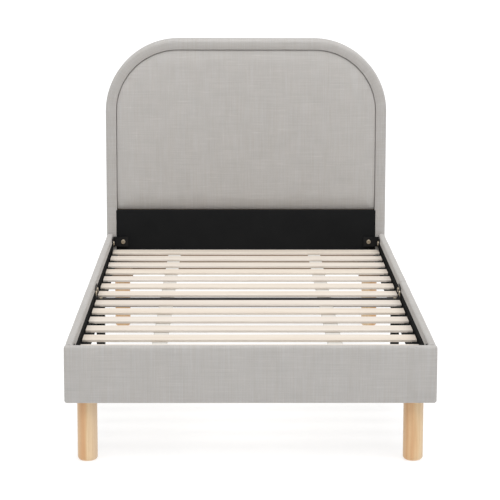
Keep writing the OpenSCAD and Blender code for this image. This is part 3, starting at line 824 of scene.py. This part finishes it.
def rail_skin():
    """Outside of a rail's cloth: (inwards, up), from the foot of the inner fold over the top
    and down to the inside of the underside."""
    pts = [(WRAP_IN, RAIL_H - WRAP_H)]
    pts += line_points((WRAP_IN, RAIL_H - WRAP_H), (WRAP_IN, RAIL_H - TOP_R_IN), 0.0015)
    pts += arc_points(WRAP_IN - TOP_R_IN, RAIL_H - TOP_R_IN, TOP_R_IN, 0, 90, 8)
    pts += line_points((WRAP_IN - TOP_R_IN, RAIL_H), (TOP_R_OUT, RAIL_H), 0.001)
    pts += arc_points(TOP_R_OUT, RAIL_H - TOP_R_OUT, TOP_R_OUT, 90, 180, 10)
    pts += line_points((0, RAIL_H - TOP_R_OUT), (0, LOW_R), 0.006)
    pts += arc_points(LOW_R, LOW_R, LOW_R, 180, 270, 5)
    pts += line_points((LOW_R, 0), (BOARD_IN, 0), 0.004)
    pts += [(BOARD_IN, 0)]
    return pts


def rail_lining_path():
    """Inside of a rail's cloth, where it lies on the board, from the underside to the fold."""
    return [(BOARD_IN, UNDER_WRAP), (PAD_OUT, UNDER_WRAP), (PAD_OUT, RAIL_H - TOP_PAD),
            (BOARD_IN, RAIL_H - TOP_PAD), (BOARD_IN, RAIL_H - WRAP_H)]


def run_of(points):
    out = [0.0]
    for p, q in zip(points, points[1:]):
        out.append(out[-1] + math.hypot(q[0] - p[0], q[1] - p[1]))
    return out


def swell(v, along, seed):
    """How far stretched cloth over foam lies off the plain section, inwards positive."""
    mid = math.sin(math.pi * min(1, max(0, v / RAIL_H)))
    flank = FLANK * (1 - mid) + FLANK_UNEVEN * wave_noise(along, v, seed, 11)
    return flank + 0.0002 * wave_noise(along, v, seed + 4, 47)


def make_side_cover(name, s, y0, y1, seed, joint_at_start):
    """One half of a side rail's cloth: s is -1 on the left, +1 on the right."""
    b = Builder()
    skin, inside = rail_skin(), rail_lining_path()
    run = run_of(skin)
    stations = [0, 0.0004, 0.001, 0.0018, 0.003, 0.0045, 0.007]
    length = y1 - y0
    plain = np.linspace(0.012, length - 0.012, max(8, int(length / 0.009)))
    places = stations + list(plain) + [length - e for e in reversed(stations)]
    rings = []
    for d in places:
        y = y0 + d
        pts, cloth = [], []
        at_joint = d if joint_at_start else length - d
        at_other = length - d if joint_at_start else d
        at_front = y - FRONT_Y
        bulge = BULGE * smooth((at_front - 0.016) / 0.05)
        for (u, v), t in zip(skin, run):
            off = swell(v, y, seed)
            # The cloth turns in at the ends, more at the joint in the middle of the rail
            turn = 0.0
            for gap, r in ((at_joint, JOINT_R), (at_other, END_R)):
                if gap < r:
                    turn += r * (1 - math.sqrt(1 - (1 - gap / r) ** 2))
            side = smooth((0.012 - u) / 0.012)
            top = smooth((v - RAIL_H + 0.008) / 0.008)
            uu, vv = u, v
            if v > RAIL_H - WRAP_H or u < BOARD_IN - 0.001:
                uu += (off - bulge + min(turn, 0.0020)) * side * smooth(v / 0.012)
                vv -= (abs(off) * 0.8 + min(turn, 0.0042)) * top
            pts.append((s * (HALF_W - uu), y, RAIL_Z + vv))
            cloth.append((y, t, 0))
        for u, v in inside:
            pts.append((s * (HALF_W - u), y, RAIL_Z + v))
            cloth.append((y, -u, 1))
        rings.append(b.ring(pts, cloth))
    for p, q in zip(rings, rings[1:]):
        b.join(p, q)
    b.cap(rings[0])
    b.cap(rings[-1], flip=True)
    ob = b.make(name + "_pad")
    dress(ob, M_RAIL, replaces=[name])


FRONT_SEED = 61.0


def make_front_cover():
    """The front rail's cloth: the same section, wrapped round both ends."""
    b = Builder()
    skin, inside = rail_skin(), rail_lining_path()
    run = run_of(skin)
    board_x = HALF_W - PAD_OUT
    ends = [FRONT_END_R * (1 - math.cos(math.radians(a)))
            for a in (0, 12, 24, 36, 48, 60, 72, 82, 90)]
    left = [-HALF_W + e for e in ends]
    plain = list(np.linspace(-HALF_W + 0.009, HALF_W - 0.009, 88))
    xs = left + plain + [-x for x in reversed(left)]
    xs = sorted(xs + [-board_x, board_x])
    outer, cores = [], []
    for x in xs:
        gap = HALF_W - abs(x)
        pts, cloth = [], []
        turn = 1 - min(1, gap / FRONT_END_R)
        turn = FRONT_END_R * (1 - math.sqrt(max(0, 1 - turn ** 2)))
        for (u, v), t in zip(skin, run):
            off = swell(v, x, FRONT_SEED)
            side = smooth((0.009 - u) / 0.009)
            top = smooth((v - RAIL_H + 0.009) / 0.009)
            low = smooth((0.012 - v) / 0.012)
            crease = math.exp(-((gap - CREASE_AT) / CREASE_WIDE) ** 2)
            fold = CREASE * crease * math.sin((x + math.copysign(1, x) * t * 1.6) * CREASES)
            round_top = max(0.0, 1 - (RAIL_H - v) / TOP_ROLL_H)
            round_low = max(0.0, 1 - v / LOW_ROLL_H)
            off += TOP_ROLL * round_top * round_top + LOW_ROLL * round_low * round_low
            tight = 0.6 + 0.4 * smooth(v / 0.004)
            uu = u + (off + turn * 0.9) * side * tight + max(0, fold) * side * 0.5
            vv = v - (abs(off) * 0.7 + turn * 1.1 + max(0, fold)) * top
            vv += turn * low
            if u > BOARD_IN:
                uu -= min(turn, 0.0009)
            pts.append((x, FRONT_Y + uu, RAIL_Z + vv))
            cloth.append((x, t, 0))
        ring = b.ring(pts, cloth)
        outer.append((x, ring))
        if abs(x) <= board_x + 1e-9:
            core = b.ring([(x, FRONT_Y + u, RAIL_Z + v) for u, v in inside],
                          [(x, -u, 1) for u, v in inside])
            cores.append((x, ring, core))
    for (_, p), (_, q) in zip(outer, outer[1:]):
        b.join(p, q, closed=False)
    for (_, p, pc), (_, q, qc) in zip(cores, cores[1:]):
        b.join(pc, qc, closed=False)
        b.faces.append((p[-1], pc[0], qc[0], q[-1]))
        b.faces.append((pc[-1], p[0], q[0], qc[-1]))
    # The wrapped ends: a back, an end and the inside that lies on the board's end
    for rings, core in ((outer[:outer_index(outer, -board_x) + 1], cores[0]),
                        (outer[outer_index(outer, board_x):], cores[-1])):
        for (_, p), (_, q) in zip(rings, rings[1:]):
            b.faces.append((p[-1], p[0], q[0], q[-1]))
        b.faces.append(tuple(core[2]) + (core[1][0], core[1][-1]))
    b.cap(outer[0][1])
    b.cap(outer[-1][1], flip=True)
    ob = b.make("front_rail_pad")
    dress(ob, M_FRONT, replaces=["front_rail_cover"])


def outer_index(outer, x):
    return min(range(len(outer)), key=lambda i: abs(outer[i][0] - x))


# ---------------------------------------------------------------- sheets

LINING_T = 0.0004
LINING_WAVE = 0.0003
LINING_WAVES = 14


def make_sheet(name, node, normal_axis, side, seed):
    """Black cloth stretched on a board. side is the way its seen face looks along normal_axis."""
    lo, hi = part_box(node)
    axes = [a for a in range(3) if a != normal_axis]
    n = [max(2, int((hi[a] - lo[a]) / 0.012)) for a in axes]
    face = hi[normal_axis] if side > 0 else lo[normal_axis]
    b = Builder()
    rows = []
    for i in range(n[0] + 1):
        pts, cloth = [], []
        for j in range(n[1] + 1):
            p = [0, 0, 0]
            p[axes[0]] = lerp(lo[axes[0]], hi[axes[0]], i / n[0])
            p[axes[1]] = lerp(lo[axes[1]], hi[axes[1]], j / n[1])
            rim = min(i, n[0] - i, j, n[1] - j)
            lift = LINING_WAVE * wave_noise(p[axes[0]], p[axes[1]], seed, LINING_WAVES)
            lift *= min(1, rim / 2)
            p[normal_axis] = face + side * lift
            pts.append(tuple(p))
            cloth.append((p[axes[0]], p[axes[1]], 0))
        rows.append(b.ring(pts, cloth))
    for p, q in zip(rows, rows[1:]):
        b.join(p, q, closed=False)
    ob = b.make(name)
    face_along(ob, normal_axis, side)
    thicken(ob, LINING_T)
    dress(ob, M_BLACK, replaces=[node])


def make_lower_lining():
    """Black cloth over the board below the panel, folded back over its top edge."""
    lo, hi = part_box("headboard_lower_lining")
    tuck = 0.0024
    fold = 0.009
    path = [(lo.y, z) for z in np.linspace(lo.z, hi.z - 0.0003, 18)]
    path += [(lo.y + 0.0003, hi.z), (lo.y + 0.0012, hi.z + 0.0003)]
    path += [(lo.y + y, hi.z + 0.0004) for y in np.linspace(0.003, fold, 4)]
    b = Builder()
    rows = []
    run = run_of(path)
    for x in np.linspace(lo.x - tuck, hi.x + tuck, 66):
        pts = []
        for k, (y, z) in enumerate(path):
            rim = min(k, 17 - k) if k < 17 else 0
            lift = LINING_WAVE * wave_noise(x, z, 7.0, LINING_WAVES) * min(1, max(0, rim) / 2)
            pts.append((x, y - abs(lift), z))
        rows.append(b.ring(pts, [(x, t, 0) for t in run]))
    for p, q in zip(rows, rows[1:]):
        b.join(p, q, closed=False)
    ob = b.make("headboard_lower_cloth")
    face_along(ob, 1, -1)
    thicken(ob, LINING_T)
    dress(ob, M_BLACK, replaces=["headboard_lower_lining"])


BACK_CLOTH_T = 0.0005


def make_back_cover():
    """Black cloth stapled over the headboard's back, with its arch outline."""
    lo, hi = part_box("headboard_back_cover")
    gap = HALF_W - hi.x
    b = Builder()
    path = arch_path(gap, lo.z, 0.010)
    low_points = [(x, lo.z, 0, 1, 0) for x in np.linspace(hi.x, lo.x, 72)[1:-1]]
    outline = [(p[0], p[1]) for p in path] + [(p[0], p[1]) for p in low_points]
    centre = (0.0, (lo.z + hi.z) / 2)
    rings = []
    for t in np.linspace(0, 0.97, 34):
        pts, cloth = [], []
        for x, z in outline:
            xx, zz = lerp(x, centre[0], t), lerp(z, centre[1], t)
            rim = smooth(t / 0.05)
            y = hi.y - 0.00045 * (1 - rim) - 0.00022 * (1 + wave_noise(xx, zz, 1.0, 12)) * rim
            pts.append((xx, y, zz))
            cloth.append((xx, zz, 0))
        rings.append(b.ring(pts, cloth))
    for p, q in zip(rings, rings[1:]):
        b.join(p, q)
    b.fan(rings[-1], (centre[0], hi.y - 0.0003, centre[1]), (0, 0, 0))
    ob = b.make("headboard_back_cloth")
    face_along(ob, 1, 1)
    thicken(ob, BACK_CLOTH_T)
    dress(ob, M_BLACK, replaces=["headboard_back_cover"])


# ---------------------------------------------------------------- tapes

TAPE_T = 0.0007
TAPE_SAG = 0.0011


def make_tape(name, node, body, slats, side_seed):
    """Webbing under the slats: held up at each one, a little slack between them."""
    lo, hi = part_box(node)
    b = Builder()
    centres = [sum(c.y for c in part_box(s)) / 2 for s in slats]
    half = (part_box(slats[0])[1].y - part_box(slats[0])[0].y) / 2
    ys = np.linspace(lo.y, hi.y, 190)
    across = np.linspace(lo.x, hi.x, 13)
    rows = []
    run, prev = 0.0, None
    for y in ys:
        off = min(abs(y - c) for c in centres)
        span = (centres[1] - centres[0]) / 2 - half
        free = max(0.0, off - half * 0.72) / (span + half * 0.28)
        sag = TAPE_SAG * smooth(free) + 0.0002 * wave_noise(y, side_seed, 0, 15)
        z = hi.z - max(0.0, sag) - 0.00005
        if prev is not None:
            run += math.hypot(y - prev[0], z - prev[1])
        prev = (y, z)
        pts = [(x, y, z - 0.00015 * abs((x - lo.x) / (hi.x - lo.x) * 2 - 1) ** 6) for x in across]
        rows.append(b.ring(pts, [(run, x - lo.x, 0) for x in across]))
    for p, q in zip(rows, rows[1:]):
        b.join(p, q, closed=False)
    ob = b.make(name)
    face_along(ob, 2, 1)
    thicken(ob, TAPE_T)
    dress(ob, M_WEB, replaces=[node], body=body)


# ---------------------------------------------------------------- legs

def make_leg(name, seed, turn):
    lo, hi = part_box(name)
    cx, cy = (lo.x + hi.x) / 2, (lo.y + hi.y) / 2
    profile = [(LEG_R - FOOT_R, 0.0)]
    profile += [(LEG_R - FOOT_R + FOOT_R * math.sin(a), FOOT_R * (1 - math.cos(a)))
                for a in np.linspace(0.12, math.pi / 2, 9)]
    profile += [(LEG_R, z) for z in np.linspace(FOOT_R, hi.z - 0.001, 12)[1:]]
    profile += [(LEG_R - 0.0008, hi.z)]
    b = Builder()
    rings = []
    for r, z in profile:
        pts = [(r * math.cos(a), r * math.sin(a)) for a in np.linspace(0, 2 * math.pi, 97)[:-1]]
        rings.append(b.ring([(cx + x, cy + y, z) for x, y in pts], [(x, y, z) for x, y in pts]))
    for p, q in zip(rings, rings[1:]):
        b.join(p, q)
    b.fan(rings[0], (cx, cy, 0), (0, 0, 0))
    b.fan(rings[-1], (cx, cy, hi.z), (0, 0, hi.z))
    ob = b.make(name + "_turned")
    dress(ob, leg_wood("beech_" + name, seed, turn), replaces=[name])


# ---------------------------------------------------------------- build

make_panel()
make_border()
for s, side in ((-1, "left"), (1, "right")):
    for half, seed in (("front", 3.0), ("rear", 9.0)):
        node = f"rail_cover_{half}_{side}"
        lo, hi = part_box(node)
        make_side_cover(node, s, lo.y, hi.y, seed + s, half == "rear")
        inward = -s
        make_sheet(f"rail_lining_cloth_{half}_{side}", f"rail_lining_{half}_{side}", 0, inward,
                   seed + s)
make_front_cover()
make_sheet("front_rail_lining_cloth", "front_rail_lining", 1, 1, 5.0)

for mat in ("front", "rear"):
    slats = [f"slat_{mat}_{i}" for i in range(1, 8)]
    for k, side in enumerate(("left", "right")):
        make_tape(f"tape_cloth_{mat}_{side}", f"tape_{mat}_{side}", f"{mat}_slat_mat", slats,
                  k + 3.0)

for i, (name, turn) in enumerate((("leg_front_left", 0.0), ("leg_front_right", 0.0),
                                  ("leg_rear_left", 2.0), ("leg_rear_right", 2.8))):
    make_leg(name, 7.3 * i, turn)


make_lower_lining()
make_back_cover()

# ---------------------------------------------------------------- CAD nodes keep their shape

LOOKS = {"board_wood": M_BOARD_PAINTED_SHADE, "black_steel": M_STEEL, "zinc_steel": M_ZINC,
         "black_plastic": M_PLASTIC, "black_lining": M_BLACK}
SLOT_OF = {p["node"]: p["material_slot"] for p in frame["record"]["subparts"]}
for name, ob in NODES.items():
    slot_name = SLOT_OF[name]
    if slot_name == "slat_wood":
        index = int(name[-1]) + (7 if "rear" in name else 0)
        look = slat_wood("beech_" + name, index * 3.71, 0.5 + 0.5 * math.sin(index * 2.4))
    else:
        look = LOOKS.get(slot_name)
    if look is not None:
        ob.data.materials.clear()
        ob.data.materials.append(look)

# ---------------------------------------------------------------- stage, light, camera

FLOOR_HALF = 60.0
FLOOR_Z = -0.0004
FLOOR_GREY = 0.41
FLOOR_GLOW = 0.67
floor_mesh = bpy.data.meshes.new("floor")
corners = [(-1, -1), (1, -1), (1, 1), (-1, 1)]
floor_mesh.from_pydata([(x * FLOOR_HALF, y * FLOOR_HALF, FLOOR_Z) for x, y in corners],
                       [], [(0, 1, 2, 3)])
floor = bpy.data.objects.new("floor", floor_mesh)
bpy.context.scene.collection.objects.link(floor)
pale = Shader("floor_pale", Roughness=0.9)
pale.bsdf.inputs["Specular IOR Level"].default_value = 0.1
pale.bsdf.inputs["Emission Color"].default_value = (1, 1, 1, 1)
pale.bsdf.inputs["Emission Strength"].default_value = FLOOR_GLOW
pale.set(Base_Color=(FLOOR_GREY, FLOOR_GREY, FLOOR_GREY, 1))
floor_mesh.materials.append(pale.mat)

WORLD_LIGHT = 0.53
world = bpy.data.worlds.new("studio")
bpy.context.scene.world = world
world.use_nodes = True
world.node_tree.nodes["Background"].inputs["Color"].default_value = (1, 1, 1, 1)
world.node_tree.nodes["Background"].inputs["Strength"].default_value = WORLD_LIGHT


def softbox(name, place, target, size, power):
    light = bpy.data.lights.new(name, "AREA")
    light.shape = "RECTANGLE"
    light.size, light.size_y = size
    light.energy = power
    ob = bpy.data.objects.new(name, light)
    ob.location = place
    ob.rotation_mode = "QUATERNION"
    ob.rotation_quaternion = (Vector(target) - Vector(place)).to_track_quat("-Z", "Y")
    bpy.context.scene.collection.objects.link(ob)


SUN_POWER = 2.3
SUN_SOFTNESS = math.radians(60)
SUN_TILT = (math.radians(17), math.radians(4), 0)

sun = bpy.data.lights.new("overhead", "SUN")
sun.energy = SUN_POWER
sun.angle = SUN_SOFTNESS
sun_ob = bpy.data.objects.new("overhead", sun)
sun_ob.rotation_euler = SUN_TILT
bpy.context.scene.collection.objects.link(sun_ob)

softbox("over_bed", place=(0.0, -0.15, 1.85), target=(0.0, 0.65, 0.55), size=(1.3, 0.8), power=6.0)

CAMERA_AT = (-0.03894, -4.78327, 1.13795)
CAMERA_LENS = 143.78
CAMERA_SENSOR = 36.0
PITCH_DOWN = math.radians(9.637)
YAW_RIGHT = math.radians(0.5257)
ROLL = math.radians(0.1016)

cam_data = bpy.data.cameras.new("camera")
cam_data.lens = CAMERA_LENS
cam_data.sensor_width = CAMERA_SENSOR
cam_data.clip_end = 200.0
camera = bpy.data.objects.new("camera", cam_data)
bpy.context.scene.collection.objects.link(camera)
forward = Vector((math.sin(YAW_RIGHT) * math.cos(PITCH_DOWN),
                  math.cos(YAW_RIGHT) * math.cos(PITCH_DOWN), -math.sin(PITCH_DOWN)))
level = Vector((math.cos(YAW_RIGHT), -math.sin(YAW_RIGHT), 0))
up = level.cross(forward)
right = math.cos(ROLL) * level + math.sin(ROLL) * up
top = -math.sin(ROLL) * level + math.cos(ROLL) * up
turned = Matrix((right, top, -forward)).transposed().to_4x4()
camera.matrix_world = Matrix.Translation(CAMERA_AT) @ turned
bpy.context.scene.camera = camera

bpy.context.scene.view_settings.view_transform = "Standard"
bpy.context.scene.view_settings.look = "None"
